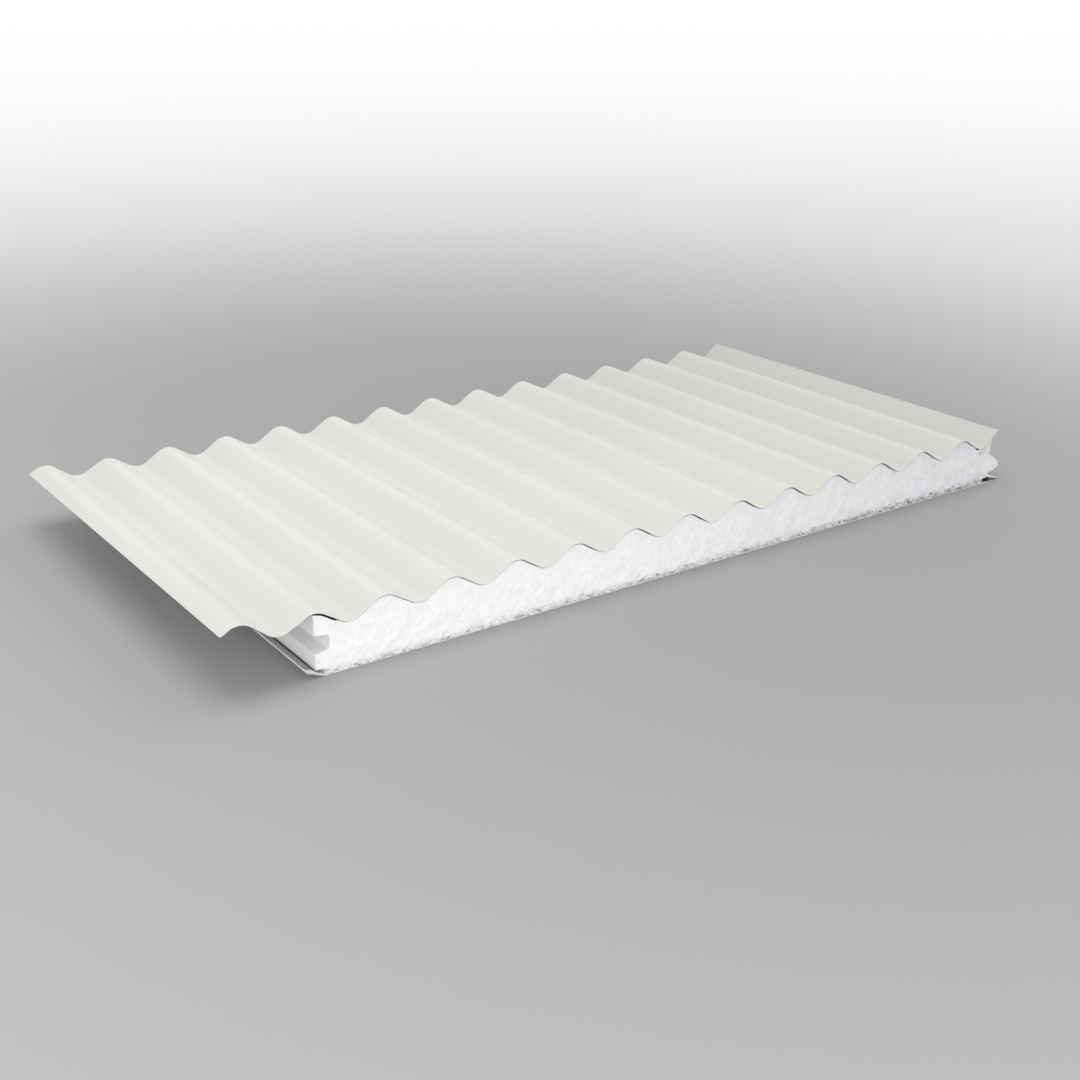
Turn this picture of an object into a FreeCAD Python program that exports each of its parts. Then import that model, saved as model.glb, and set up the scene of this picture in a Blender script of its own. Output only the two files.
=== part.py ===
# Insulated roof panel: a corrugated steel weather sheet over a foam core, with a flat
# steel liner below. Its left side laps over the panel before it, and its right side
# takes the next one: wave over wave, tongue in groove, and flange over folded edge.
#
# The profile is drawn with X across the waves, measured from the crest of the first
# wave, Z up from the underside, and Y along the waves, which is the way it is rolled.
import FreeCAD, Part
import math
import os
import Sketcher

DIMENSIONS = [
    ("cover_width", 1000, "width that one laid panel adds to a roof"),
    ("wave_count", 13, "waves in that width"),
    ("panel_length", 550, "length along the waves"),
    ("valley_depth", 50, "valley of the weather sheet to the underside"),
    ("wave_height", 17, "valley to crest"),
    ("wave_radius", 20, "bend of crests and valleys, at the middle of the sheet"),
    ("weather_skin", 0.5, "thickness of the weather sheet"),
    ("liner_skin", 0.5, "thickness of the liner"),
    ("lap_lift_front", 7.5, "angle that the free side lap springs up by in front, in degrees"),
    ("lap_lift_back", 4, "angle that it springs up by at the back"),
    ("lap_edge", 10, "straight flank outside the first crest"),
    ("lip_angle", 40, "slope of the lip past the last valley, in degrees"),
    ("lip_run", 23.5, "straight length of that lip"),
    ("foam_gap", 17, "room left between the side faces of two laid foam cores"),
    ("joint_height", 33, "middle of tongue and groove above the underside"),
    ("groove_mouth", 19, "height of the groove at the side face"),
    ("groove_floor", 16, "height of the groove at its floor"),
    ("groove_depth", 16, "depth of the groove"),
    ("groove_round", 3, "radius in the corners of its floor"),
    ("tongue_reach", 20, "length of the tongue"),
    ("tongue_play", 1, "gap between tongue and groove, above and below"),
    ("tongue_round", 5, "radius on the corners of its tip"),
    ("flange_setback", 8.5, "side face of the foam to the root of the liner flange"),
    ("flange_reach", 19.5, "width of that flange"),
    ("flange_slope", 21, "slope of the flange, in degrees"),
    ("flange_play", 2.7, "gap between the flange and the foam over it"),
    ("bend_radius", 1, "fold at the root of the flange, at the middle of the sheet"),
    ("hem_gap", 0.6, "gap inside a hem, at its bend"),
    ("hem_return", 10, "width folded back over the flange"),
    ("liner_gap", 4.5, "joint left between two liners"),
    ("fold_slope", 16, "slope of the liner's right edge where it is folded back, in degrees"),
    ("foam_play", 0.5, "gap between foam and the folds of the liner"),
]

document = FreeCAD.newDocument("insulated_panel")
dims = document.addObject("Spreadsheet::Sheet", "dims")
for row, (alias, size, meaning) in enumerate(DIMENSIONS, 1):
    dims.set(f"A{row}", meaning)
    dims.set(f"B{row}", str(size))
    dims.setAlias(f"B{row}", alias)
document.recompute()

# Sizes that follow from the driving ones. A flank is the common tangent of the crest
# circle and the valley circle, whose centres lie half a wave apart.
PITCH = "(dims.cover_width / dims.wave_count)"
CENTRE_RISE = "(2 * dims.wave_radius - dims.wave_height)"
CENTRE_SPAN = f"hypot({PITCH} / 2; {CENTRE_RISE})"
FLANK_ANGLE = f"(asin(2 * dims.wave_radius / {CENTRE_SPAN}) - atan2({CENTRE_RISE}; {PITCH} / 2))"
FLANK_RUN = f"sqrt(pow({CENTRE_SPAN}; 2) - pow(2 * dims.wave_radius; 2))"
CREST_LINE = "(dims.valley_depth + dims.wave_height - dims.weather_skin / 2)"

# The foam starts under the second crest. Its right face stops short of the left face of
# the next panel's foam, and the lip above it is backed by foam up to there.
FOAM_LEFT = PITCH
LAST_CREST = "dims.cover_width"
NEXT_FOAM = f"({FOAM_LEFT} + dims.cover_width)"
FOAM_RIGHT = f"({NEXT_FOAM} - dims.foam_gap)"
LIP_START = (
    f"({LAST_CREST} + {PITCH} / 2"
    " + (dims.wave_radius + dims.weather_skin / 2) * sin(dims.lip_angle))"
)
LIP_BOND = f"(({FOAM_RIGHT} - {LIP_START}) / cos(dims.lip_angle))"

# The liner's left flange slopes up and ends in a hem. Its right edge is folded back at
# a lower slope, up to the foam, and the flange of the next panel rests over that fold.
FLANGE_SLOPE = "dims.flange_slope * 1deg"
FOLD_SLOPE = "dims.fold_slope * 1deg"
HEM_RADIUS = "((dims.liner_skin + dims.hem_gap) / 2)"
HEM_EDGE = f"({HEM_RADIUS} + dims.liner_skin / 2)"
FLANGE_ROOT = f"({FOAM_LEFT} + dims.flange_setback)"
FLANGE_RUN = (
    f"((dims.flange_reach - (dims.bend_radius - {HEM_RADIUS}) * sin({FLANGE_SLOPE})"
    f" - {HEM_EDGE}) / cos({FLANGE_SLOPE}))"
)
FLANGE_ROOM = (
    f"(dims.liner_skin + dims.flange_setback * tan({FLANGE_SLOPE}) + dims.flange_play)"
)
FOLD_TIP = f"({FLANGE_ROOT} + dims.cover_width - dims.liner_gap)"
FOLD_START = f"({FOLD_TIP} - {HEM_EDGE})"
FOLD_RUN = (
    f"(({FOLD_START} + ({HEM_RADIUS} - dims.liner_skin / 2) * sin({FOLD_SLOPE})"
    f" - {FOAM_RIGHT} - dims.foam_play) / cos({FOLD_SLOPE}))"
)


def number(expression):
    """Value of a sheet expression, in millimetres, or in degrees for an angle."""
    result = dims.evalExpression(expression)
    return getattr(result, "Value", result)


def toward(degrees):
    """Unit vector in a sketch, at an angle from its horizontal axis."""
    return FreeCAD.Vector(math.cos(math.radians(degrees)), math.sin(math.radians(degrees)), 0)


def straight(length):
    return ("straight", length, None)


def left(radius, turn):
    return ("left", radius, turn)


def right(radius, turn):
    return ("right", radius, turn)


def new_body(label):
    body = document.addObject("PartDesign::Body", label)
    body.Label = label
    return body


def new_sketch(body, name):
    """Sketch across the waves: its horizontal axis is X, its vertical axis Z."""
    sketch = body.newObject("Sketcher::SketchObject", name)
    plane = next(item for item in body.Origin.OriginFeatures if item.Role == "XZ_Plane")
    sketch.AttachmentSupport = (plane, [""])
    sketch.MapMode = "FlatFace"
    return sketch


def bind(sketch, expression, kind, *where):
    """Dimension a sketch, and tie the dimension to the sheet."""
    size = number(expression)
    if kind == "Angle":
        size = math.radians(size)
    index = sketch.addConstraint(Sketcher.Constraint(kind, *where, size))
    sketch.renameConstraint(index, f"size{index}")
    sketch.setExpression(f"Constraints.size{index}", expression)


def pin(sketch, corner, x, z):
    """Fix a point of a sketch at (x, z)."""
    bind(sketch, x, "DistanceX", -1, 1, *corner)
    bind(sketch, z, "DistanceY", -1, 1, *corner)


def draw_face(sketch, place, heading, offset, runs):
    """One face of a folded sheet, as straights and bends that run on from each other.

    The path of the sheet's middle starts at place, along heading (0 or 180 degrees),
    and the face lies at offset to its left. Returns both ends, as (curve, point).
    """
    upright = "+" if heading == 0 else "-"
    level = f"{place[1]} {upright} ({offset})"
    point = FreeCAD.Vector(number(place[0]), number(level), 0)
    start = None
    for kind, size, turn in runs:
        if kind == "straight":
            ahead = point + toward(heading) * number(size)
            curve = sketch.addGeometry(Part.LineSegment(point, ahead))
            first, last = 1, 2
            bind(sketch, size, "Distance", curve)
        else:
            hand = 1 if kind == "left" else -1
            radius = f"{size} {'-' if kind == 'left' else '+'} ({offset})"
            centre = point + toward(heading + 90 * hand) * number(radius)
            angles = sorted((heading - 90 * hand, heading - 90 * hand + hand * number(turn)))
            circle = Part.Circle(centre, FreeCAD.Vector(0, 0, 1), number(radius))
            curve = sketch.addGeometry(Part.ArcOfCircle(circle, *map(math.radians, angles)))
            first, last = (1, 2) if kind == "left" else (2, 1)
            bind(sketch, radius, "Radius", curve)
            bind(sketch, turn, "Angle", curve)
            heading += hand * number(turn)
            ahead = centre + toward(heading - 90 * hand) * number(radius)
        if start is None:
            start = (curve, first)
            pin(sketch, start, place[0], level)
            if kind == "straight":
                sketch.addConstraint(Sketcher.Constraint("Horizontal", curve))
            else:
                sketch.addConstraint(Sketcher.Constraint("Vertical", curve, first, curve, 3))
        else:
            sketch.addConstraint(Sketcher.Constraint("Tangent", *end, curve, first))
        end = (curve, last)
        point = ahead
    return start, end


def draw_line(sketch, corner, other):
    """Straight line between two points that the sketch already has."""
    line = sketch.addGeometry(Part.LineSegment(sketch.getPoint(*corner), sketch.getPoint(*other)))
    sketch.addConstraint(Sketcher.Constraint("Coincident", line, 1, *corner))
    sketch.addConstraint(Sketcher.Constraint("Coincident", line, 2, *other))


def sheet_outline(body, name, place, heading, thickness, runs):
    """Section of a folded sheet: both its faces, closed by the cut edges."""
    sketch = new_sketch(body, name)
    upper = draw_face(sketch, place, heading, f"{thickness} / 2", runs)
    lower = draw_face(sketch, place, heading, f"-{thickness} / 2", runs)
    for corner, other in zip(upper, lower):
        draw_line(sketch, corner, other)
    return sketch


def block_outline(body, name, place, thickness, runs, floor):
    """Section of a block that fills the room from a sheet's lower face to a floor."""
    sketch = new_sketch(body, name)
    ends = draw_face(sketch, place, 0, f"-{thickness} / 2", runs)
    feet = []
    for corner in ends:
        top = sketch.getPoint(*corner)
        foot = FreeCAD.Vector(top.x, number(floor), 0)
        side = sketch.addGeometry(Part.LineSegment(top, foot))
        sketch.addConstraint(Sketcher.Constraint("Coincident", side, 1, *corner))
        sketch.addConstraint(Sketcher.Constraint("Vertical", side))
        bind(sketch, floor, "DistanceY", -1, 1, side, 2)
        feet.append((side, 2))
    draw_line(sketch, *feet)
    return sketch


def corner_outline(body, name, corners):
    """Section with straight sides, through corners given as (x, z)."""
    sketch = new_sketch(body, name)
    points = [FreeCAD.Vector(number(x), number(z), 0) for x, z in corners]
    sides = [
        sketch.addGeometry(Part.LineSegment(point, points[(index + 1) % len(points)]))
        for index, point in enumerate(points)
    ]
    for index, side in enumerate(sides):
        pin(sketch, (side, 1), *corners[index])
        following = sides[(index + 1) % len(sides)]
        sketch.addConstraint(Sketcher.Constraint("Coincident", side, 2, following, 1))
    return sketch


def rectangle(x_low, x_high, z_low, z_high):
    return [(x_low, z_low), (x_high, z_low), (x_high, z_high), (x_low, z_high)]


def pad(body, sketch):
    """Draw a section out over the whole length of the panel."""
    feature = body.newObject("PartDesign::Pad", f"{sketch.Name}_pad")
    feature.Profile = sketch
    feature.SideType = "Symmetric"
    feature.setExpression("Length", "dims.panel_length")
    body.Tip = feature
    return feature


def cut(body, sketch):
    """Cut a section out over the whole length of the panel."""
    document.recompute()
    before = body.Shape.Volume
    feature = body.newObject("PartDesign::Pocket", f"{sketch.Name}_cut")
    feature.Profile = sketch
    feature.SideType = "Symmetric"
    feature.setExpression("Length", "dims.panel_length")
    body.Tip = feature
    document.recompute()
    if body.Shape.Volume >= before:
        raise ValueError(f"{feature.Name} cuts nothing")
    return feature


def repeat_waves(body, feature):
    """Repeat the first wave across the panel, up to the last crest."""
    pattern = body.newObject("PartDesign::LinearPattern", f"{feature.Name}_waves")
    pattern.Originals = [feature]
    axis = next(item for item in body.Origin.OriginFeatures if item.Role == "X_Axis")
    pattern.Direction = (axis, [""])
    pattern.Mode = "Spacing"
    pattern.setExpression("Offset", PITCH)
    pattern.setExpression("Occurrences", "dims.wave_count - 1")
    body.Tip = pattern
    return pattern


def round_edges(body, feature, name, radius, places):
    """Round the lengthwise edges that pass through the given (x, z) places."""
    document.recompute()
    spots = [(number(x), number(z)) for x, z in places]
    edges = []
    for index, edge in enumerate(feature.Shape.Edges, 1):
        ends = [vertex.Point for vertex in edge.Vertexes]
        for x, z in spots:
            if all(math.hypot(end.x - x, end.z - z) < SAME_PLACE for end in ends):
                edges.append(f"Edge{index}")
    fillet = body.newObject("PartDesign::Fillet", name)
    fillet.Base = (feature, edges)
    fillet.setExpression("Radius", radius)
    body.Tip = fillet
    return fillet


SAME_PLACE = 0.01
RADIUS = "dims.wave_radius"
LIP_SLOPE = "dims.lip_angle * 1deg"


def whole_wave():
    """Path from one crest to the next."""
    return [
        right(RADIUS, FLANK_ANGLE),
        straight(FLANK_RUN),
        left(RADIUS, f"2 * {FLANK_ANGLE}"),
        straight(FLANK_RUN),
        right(RADIUS, FLANK_ANGLE),
    ]


def last_valley(lip):
    """Path from the last crest through the last valley and some way up the lip."""
    return [
        right(RADIUS, FLANK_ANGLE),
        straight(FLANK_RUN),
        left(RADIUS, f"{FLANK_ANGLE} + {LIP_SLOPE}"),
        straight(lip),
    ]


def side_lap(lift):
    """Path from the first bonded crest out over the side lap, which is bent up at it."""
    return [
        left(RADIUS, f"{FLANK_ANGLE} - {lift} * 1deg"),
        straight(FLANK_RUN),
        right(RADIUS, f"2 * {FLANK_ANGLE}"),
        straight(FLANK_RUN),
        left(RADIUS, f"2 * {FLANK_ANGLE}"),
        straight("dims.lap_edge"),
    ]


def make_top_sheet():
    """Weather sheet: waves over the foam, a free side lap on the left, a lip on the right."""
    body = new_body("top_sheet")
    skin = "dims.weather_skin"
    first_crest = (FOAM_LEFT, CREST_LINE)
    wave = sheet_outline(body, "wave", first_crest, 0, skin, whole_wave())
    repeat_waves(body, pad(body, wave))
    laps = []
    for end, lift in (("front", "dims.lap_lift_front"), ("back", "dims.lap_lift_back")):
        lap = sheet_outline(body, f"side_lap_{end}", first_crest, 180, skin, side_lap(lift))
        depth = "dims.panel_length / 2" if end == "front" else "-dims.panel_length / 2"
        lap.setExpression("AttachmentOffset.Base.z", depth)
        laps.append(lap)
    loft = body.newObject("PartDesign::AdditiveLoft", "side_lap")
    loft.Profile = laps[0]
    loft.Sections = [laps[1]]
    loft.Ruled = True
    body.Tip = loft
    last_crest = (LAST_CREST, CREST_LINE)
    pad(body, sheet_outline(body, "side_lip", last_crest, 0, skin, last_valley("dims.lip_run")))
    return body


def make_foam_core():
    """Foam core: waved to fit the sheet above, with a groove on the left, a tongue on
    the right, and a rebate that clears the flange of the liner."""
    body = new_body("foam_core")
    skin = "dims.weather_skin"
    floor = "dims.liner_skin"
    wave = block_outline(body, "foam_wave", (FOAM_LEFT, CREST_LINE), skin, whole_wave(), floor)
    repeat_waves(body, pad(body, wave))
    last_crest = (LAST_CREST, CREST_LINE)
    pad(body, block_outline(body, "foam_end", last_crest, skin, last_valley(LIP_BOND), floor))

    middle = "dims.joint_height"
    taper = "((dims.groove_mouth - dims.groove_floor) / 2 / dims.groove_depth)"
    tip = f"({FOAM_RIGHT} + dims.tongue_reach)"
    half_mouth = "(dims.groove_mouth / 2 - dims.tongue_play)"
    half_root = f"({half_mouth} + {taper} * dims.foam_gap)"
    half_tip = f"({half_mouth} + {taper} * ({NEXT_FOAM} - {tip}))"
    tongue_tip = [(tip, f"{middle} - {half_tip}"), (tip, f"{middle} + {half_tip}")]
    tongue_root = [(FOAM_RIGHT, f"{middle} + {half_root}"), (FOAM_RIGHT, f"{middle} - {half_root}")]
    tongue = pad(body, corner_outline(body, "tongue", tongue_tip + tongue_root))
    round_edges(body, tongue, "tongue_rounding", "dims.tongue_round", tongue_tip)

    inner = f"({FOAM_LEFT} + dims.groove_depth)"
    mouth = [
        (FOAM_LEFT, f"{middle} + dims.groove_mouth / 2"),
        (FOAM_LEFT, f"{middle} - dims.groove_mouth / 2"),
    ]
    groove_floor = [
        (inner, f"{middle} - dims.groove_floor / 2"),
        (inner, f"{middle} + dims.groove_floor / 2"),
    ]
    groove = cut(body, corner_outline(body, "groove", mouth + groove_floor))
    round_edges(body, groove, "groove_rounding", "dims.groove_round", groove_floor)

    flange_room = rectangle(FOAM_LEFT, f"{FLANGE_ROOT} + dims.foam_play", floor, FLANGE_ROOM)
    cut(body, corner_outline(body, "flange_rebate", flange_room))
    return body


def make_bottom_sheet():
    """Liner: flat, with a sloped and hemmed flange on the left, and its right edge folded
    back, so that the next panel's flange can rest over it."""
    body = new_body("bottom_sheet")
    skin = "dims.liner_skin"
    flat = rectangle(FLANGE_ROOT, FOLD_START, "0", skin)
    pad(body, corner_outline(body, "liner_flat", flat))

    flange_path = [
        right("dims.bend_radius", FLANGE_SLOPE),
        straight(FLANGE_RUN),
        right(HEM_RADIUS, "180deg"),
        straight("dims.hem_return"),
    ]
    root = (FLANGE_ROOT, f"{skin} / 2")
    pad(body, sheet_outline(body, "flange", root, 180, skin, flange_path))

    fold_path = [left(HEM_RADIUS, f"180deg - {FOLD_SLOPE}"), straight(FOLD_RUN)]
    edge = (FOLD_START, f"{skin} / 2")
    pad(body, sheet_outline(body, "folded_edge", edge, 0, skin, fold_path))
    return body


bodies = [make_top_sheet(), make_foam_core(), make_bottom_sheet()]
document.recompute()

left_edge = min(body.Shape.BoundBox.XMin for body in bodies)
right_edge = max(body.Shape.BoundBox.XMax for body in bodies)
for body in bodies:
    body.Placement.Base = FreeCAD.Vector(-(left_edge + right_edge) / 2, 0, 0)
document.recompute()

for item in document.Objects:
    if {"Invalid", "Error"} & set(item.State):
        raise ValueError(f"{item.Name} failed: {item.State}")
for body in bodies:
    if body.Shape.isNull() or not body.Shape.isValid() or len(body.Shape.Solids) != 1:
        raise ValueError(f"{body.Label} is not one sound solid")

os.makedirs("parts", exist_ok=True)
for body in bodies:
    body.Shape.exportStep(f"parts/{body.Label}.step")
    box = body.Shape.BoundBox
    sides = f"{box.XLength:.1f} x {box.YLength:.1f} x {box.ZLength:.1f}"
    print(f"{body.Label}: {sides} mm, {body.Shape.Volume / 1e6:.4f} litres")
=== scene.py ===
# %% [markdown]
# # An insulated roof panel, from its steel to its foam
#
# A sandwich panel is three things glued into one: a waved steel weather sheet, a block
# of white foam, and a flat steel liner. Short samples like this one are sawn off a long
# panel, so both ends show the cut foam between two thin steel lines.
#
# The construction already exists as plain solids. This lesson loads them, keeps the
# liner, and models the sheet and the foam again with finer bends, a sawn face and
# painted, sheared and torn edges. Everything is in metres and stays where it was.

# %% Load the panel
import math
import random

import bmesh
import bpy
from mathutils import Matrix, Vector
from mathutils.kdtree import KDTree


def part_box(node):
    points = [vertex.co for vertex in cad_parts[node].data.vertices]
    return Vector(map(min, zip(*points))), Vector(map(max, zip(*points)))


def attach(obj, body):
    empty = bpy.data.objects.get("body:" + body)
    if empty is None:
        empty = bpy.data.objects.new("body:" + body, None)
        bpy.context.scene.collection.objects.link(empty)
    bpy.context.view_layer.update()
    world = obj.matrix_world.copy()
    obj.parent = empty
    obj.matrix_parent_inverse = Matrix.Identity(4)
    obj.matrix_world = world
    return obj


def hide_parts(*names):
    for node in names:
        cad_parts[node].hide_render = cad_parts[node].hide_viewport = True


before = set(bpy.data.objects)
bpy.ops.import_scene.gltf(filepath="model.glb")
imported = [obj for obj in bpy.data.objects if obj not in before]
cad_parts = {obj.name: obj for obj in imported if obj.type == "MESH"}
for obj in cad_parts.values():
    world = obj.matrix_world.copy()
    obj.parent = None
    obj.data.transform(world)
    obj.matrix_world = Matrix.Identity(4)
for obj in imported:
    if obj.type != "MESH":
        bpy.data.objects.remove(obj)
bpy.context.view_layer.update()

# %% [markdown]
# ## Sizes
#
# A roll former gives every wave the same bends, so a few numbers describe the whole
# sheet: how wide a wave is, how high, and how tightly it is bent. The straight flank
# between two bends is the common tangent of their circles. Places come from the boxes
# of the solids, so that the new pieces land on them.

# %% Sizes
MM = 0.001
foam_low, foam_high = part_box("foam_core")
liner_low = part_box("bottom_sheet")[0]

FRONT, BACK = foam_low.y, foam_high.y
LENGTH = BACK - FRONT
SKIN = 0.5 * MM
WAVES = 13
PITCH = 1000 * MM / WAVES
WAVE_HEIGHT = 17 * MM
BEND = 20 * MM
FIRST_CREST = foam_low.x
CREST_Z = foam_high.z + SKIN / 2

centre_rise = 2 * BEND - WAVE_HEIGHT
centre_span = math.hypot(PITCH / 2, centre_rise)
FLANK_ANGLE = math.asin(2 * BEND / centre_span) - math.atan2(centre_rise, PITCH / 2)
FLANK_RUN = math.sqrt(centre_span**2 - (2 * BEND) ** 2)
print("flank", round(math.degrees(FLANK_ANGLE), 2), "degrees,", round(FLANK_RUN / MM, 2), "mm")

# %% [markdown]
# ## A pen that bends
#
# A folded sheet could be traced as a curve, or worked out point by point in a formula.
# The hand way is closer to the workshop: start from one point, spin it through a bend,
# push it along a straight, and spin it again. The pen below keeps track of where the
# point is and which way it is heading. Turns to the left are positive, seen from the
# front, and a heading of 0 runs to the right.

# %% Selection
def only(piece):
    """Select one object and nothing else, and make it the active one."""
    bpy.ops.object.select_all(action="DESELECT")
    piece.select_set(True)
    bpy.context.view_layer.objects.active = piece


def start_point(name, place):
    """New piece, in edit mode, that is a single selected point."""
    bpy.ops.object.select_all(action="DESELECT")
    bpy.ops.mesh.primitive_plane_add(size=MM, location=place)
    bpy.ops.object.transform_apply(location=True, rotation=True, scale=True)
    piece = bpy.context.object
    piece.name = name
    piece.data.name = name
    bpy.ops.object.mode_set(mode="EDIT")
    bpy.ops.mesh.merge(type="CENTER")
    return piece


def another_point(place):
    """One more selected point, in the piece that is being edited."""
    bpy.ops.mesh.select_all(action="DESELECT")
    bpy.ops.mesh.primitive_plane_add(size=MM, location=place)
    bpy.ops.mesh.merge(type="CENTER")


def pick(test, kind="VERT"):
    """Select the points, or the faces by their middles, whose place passes a test."""
    bpy.ops.mesh.select_mode(type=kind)
    bpy.ops.mesh.select_all(action="DESELECT")
    data = bpy.context.object.data
    mesh = bmesh.from_edit_mesh(data)
    if kind == "VERT":
        chosen = [point for point in mesh.verts if test(point.co)]
    else:
        chosen = [face for face in mesh.faces if test(face.calc_center_median(), face.normal)]
    for item in chosen:
        item.select_set(True)
    mesh.select_flush_mode()
    bmesh.update_edit_mesh(data)
    return len(chosen)


# %% Pen
class Pen:
    """Draws the section of a folded sheet on from the selected point."""

    def __init__(self, place, heading=0.0):
        self.place = Vector(place)
        self.heading = heading

    def ahead(self, turn=0.0):
        """The direction that the pen heads in, or one that is turned from it."""
        angle = self.heading + turn
        return Vector((math.cos(angle), 0, math.sin(angle)))

    def straight(self, length):
        """Push the selected point ahead."""
        step = self.ahead() * length
        bpy.ops.mesh.extrude_vertices_move(TRANSFORM_OT_translate={"value": step})
        self.place += step

    def bend(self, radius, turn, steps):
        """Spin the selected point round a bend."""
        side = math.copysign(math.pi / 2, turn)
        centre = self.place + self.ahead(side) * radius
        bpy.ops.mesh.spin(
            steps=steps, dupli=False, angle=turn, center=centre, axis=(0, 1, 0)
        )
        self.heading += turn
        self.place = centre - self.ahead(side) * radius


# %% [markdown]
# ## Weather sheet
#
# The weather sheet is half a millimetre of steel, painted off-white on top. Thirteen
# waves run along it. On the left, a wave and a half hang free of the foam: they lap
# over the panel before this one, and have sprung up a little, more in front than
# behind. On the right the sheet ends in a slanted lip.
#
# One long extrusion would give a perfectly even sheet. Here the section is drawn twice,
# at the front and at the back, with the lap bent up by a different angle in each, and
# the two lines are bridged. That gives the lap its slight twist for free.

# %% Draw the two ends of the sheet
BEND_STEPS = 10
LAP_LIFT_FRONT = math.radians(6)
LAP_LIFT_BACK = math.radians(4)
LAP_EDGE = 10 * MM
LIP_ANGLE = math.radians(40)
LIP_RUN = 23.5 * MM
SAME_PLACE = 0.01 * MM


def wave_on(pen, thicker=0.0):
    """One wave, crest to crest, at a distance below the middle of the sheet."""
    pen.bend(BEND - thicker, -FLANK_ANGLE, BEND_STEPS // 2)
    pen.straight(FLANK_RUN)
    pen.bend(BEND + thicker, 2 * FLANK_ANGLE, BEND_STEPS)
    pen.straight(FLANK_RUN)
    pen.bend(BEND - thicker, -FLANK_ANGLE, BEND_STEPS // 2)


def sheet_end(crest, lift):
    """Draw one end of the sheet, from the first glued crest outwards both ways."""
    pen = Pen(crest)
    for _ in range(WAVES - 1):
        wave_on(pen)
    pen.bend(BEND, -FLANK_ANGLE, BEND_STEPS // 2)
    pen.straight(FLANK_RUN)
    pen.bend(BEND, FLANK_ANGLE + LIP_ANGLE, BEND_STEPS)
    pen.straight(LIP_RUN)
    right_end = pen.place.copy()
    pick(lambda place: (place - crest).length < SAME_PLACE)
    pen = Pen(crest, math.pi)
    pen.bend(BEND, FLANK_ANGLE - lift, BEND_STEPS // 2)
    pen.straight(FLANK_RUN)
    pen.bend(BEND, -2 * FLANK_ANGLE, BEND_STEPS)
    pen.straight(FLANK_RUN)
    pen.bend(BEND, 2 * FLANK_ANGLE, BEND_STEPS)
    pen.straight(LAP_EDGE)
    return pen.place.x, right_end.x


front_crest = Vector((FIRST_CREST, FRONT, CREST_Z))
back_crest = Vector((FIRST_CREST, BACK, CREST_Z))
sheet = start_point("weather_sheet", front_crest)
print("front end", sheet_end(front_crest, LAP_LIFT_FRONT))
another_point(back_crest)
print("back end", sheet_end(back_crest, LAP_LIFT_BACK))

# %% Bridge the ends into a sheet
SHEET_ROWS = 40
bpy.ops.mesh.select_all(action="SELECT")
bpy.ops.mesh.bridge_edge_loops(type="SINGLE", number_cuts=SHEET_ROWS, interpolation="LINEAR")
bpy.ops.mesh.select_all(action="SELECT")
bpy.ops.mesh.normals_make_consistent(inside=False)
if sum(face.normal.z for face in bmesh.from_edit_mesh(sheet.data).faces) < 0:
    bpy.ops.mesh.flip_normals()
bpy.ops.object.mode_set(mode="OBJECT")
print("sheet faces", len(sheet.data.polygons))

# %% [markdown]
# ## Thickness
#
# Solidify gives the sheet its half millimetre, half of it to each side of the line that
# was drawn. It can also hand out materials: the underside gets the second slot, a grey
# backing coat, and the cut edges all round the third, bare sheared steel. The ends are
# then pressed flat, because the twisted lap leans its edge out by a hair.

# %% Modifiers, shading and saw cuts
def finish_with(piece, kind, **settings):
    """Add a modifier, set it, and apply it."""
    modifier = piece.modifiers.new(kind.lower(), kind)
    for name, value in settings.items():
        setattr(modifier, name, value)
    bpy.ops.object.modifier_apply(modifier=modifier.name)


def smooth(piece, degrees):
    """Smooth shading, with a crease wherever two faces meet at more than an angle."""
    only(piece)
    bpy.ops.object.shade_smooth_by_angle(angle=math.radians(degrees))


def press_flat(y):
    """Bring the points that are nearly at a saw cut exactly onto it."""
    pick(lambda place: abs(place.y - y) < SKIN)
    bpy.ops.transform.resize(value=(1, 0, 1), center_override=(0, y, 0))


# %% Give the sheet its thickness
CREASE = 30
for slot_name in ("weather_coat", "backing_coat", "cut_steel"):
    sheet.data.materials.append(bpy.data.materials.new(slot_name))
finish_with(
    sheet,
    "SOLIDIFY",
    thickness=SKIN,
    offset=0.0,
    use_even_offset=True,
    material_offset=1,
    material_offset_rim=2,
)
bpy.ops.object.mode_set(mode="EDIT")
press_flat(FRONT)
press_flat(BACK)
bpy.ops.object.mode_set(mode="OBJECT")
smooth(sheet, CREASE)
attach(sheet, "root")
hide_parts("top_sheet")
print("sheet triangles", sum(len(face.vertices) - 2 for face in sheet.data.polygons))

# %% [markdown]
# ## Foam block
#
# The foam is moulded in one long block: waved on top to fill the sheet, with a groove
# on the left that takes the tongue of the panel before, and a rounded tongue on the
# right. On the left it also steps back over the sloped flange of the liner.
#
# Its section is drawn once round with the same pen, filled with one face, and drawn out
# along the panel. The saw has torn the beads on both ends, so those faces need points
# to be torn at. Cutting the one big face by a grid of planes gives them without
# touching the outline.

# %% Sizes of the joint
GLUE_LINE = SKIN / 2
FOAM_RIGHT = foam_high.x - 20 * MM
JOINT_Z = 33 * MM
MOUTH_HALF = 9.5 * MM
FLOOR_HALF = 8 * MM
GROOVE_DEEP = 16 * MM
GROOVE_ROUND = 3 * MM
TONGUE_PLAY = 1 * MM
TONGUE_ROUND = 5 * MM
TONGUE_REACH = foam_high.x - FOAM_RIGHT
FOAM_GAP = 17 * MM
FLANGE_SETBACK = 8.5 * MM
FLANGE_SLOPE = math.radians(21)
FLANGE_RISE = FLANGE_SETBACK * math.tan(FLANGE_SLOPE)
FLANGE_BESIDE = 0.5 * MM
FLANGE_ABOVE = 2.7 * MM
FLANGE_REBATE = (
    foam_low.x + FLANGE_SETBACK + FLANGE_BESIDE,
    SKIN + FLANGE_RISE + FLANGE_ABOVE,
)
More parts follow.
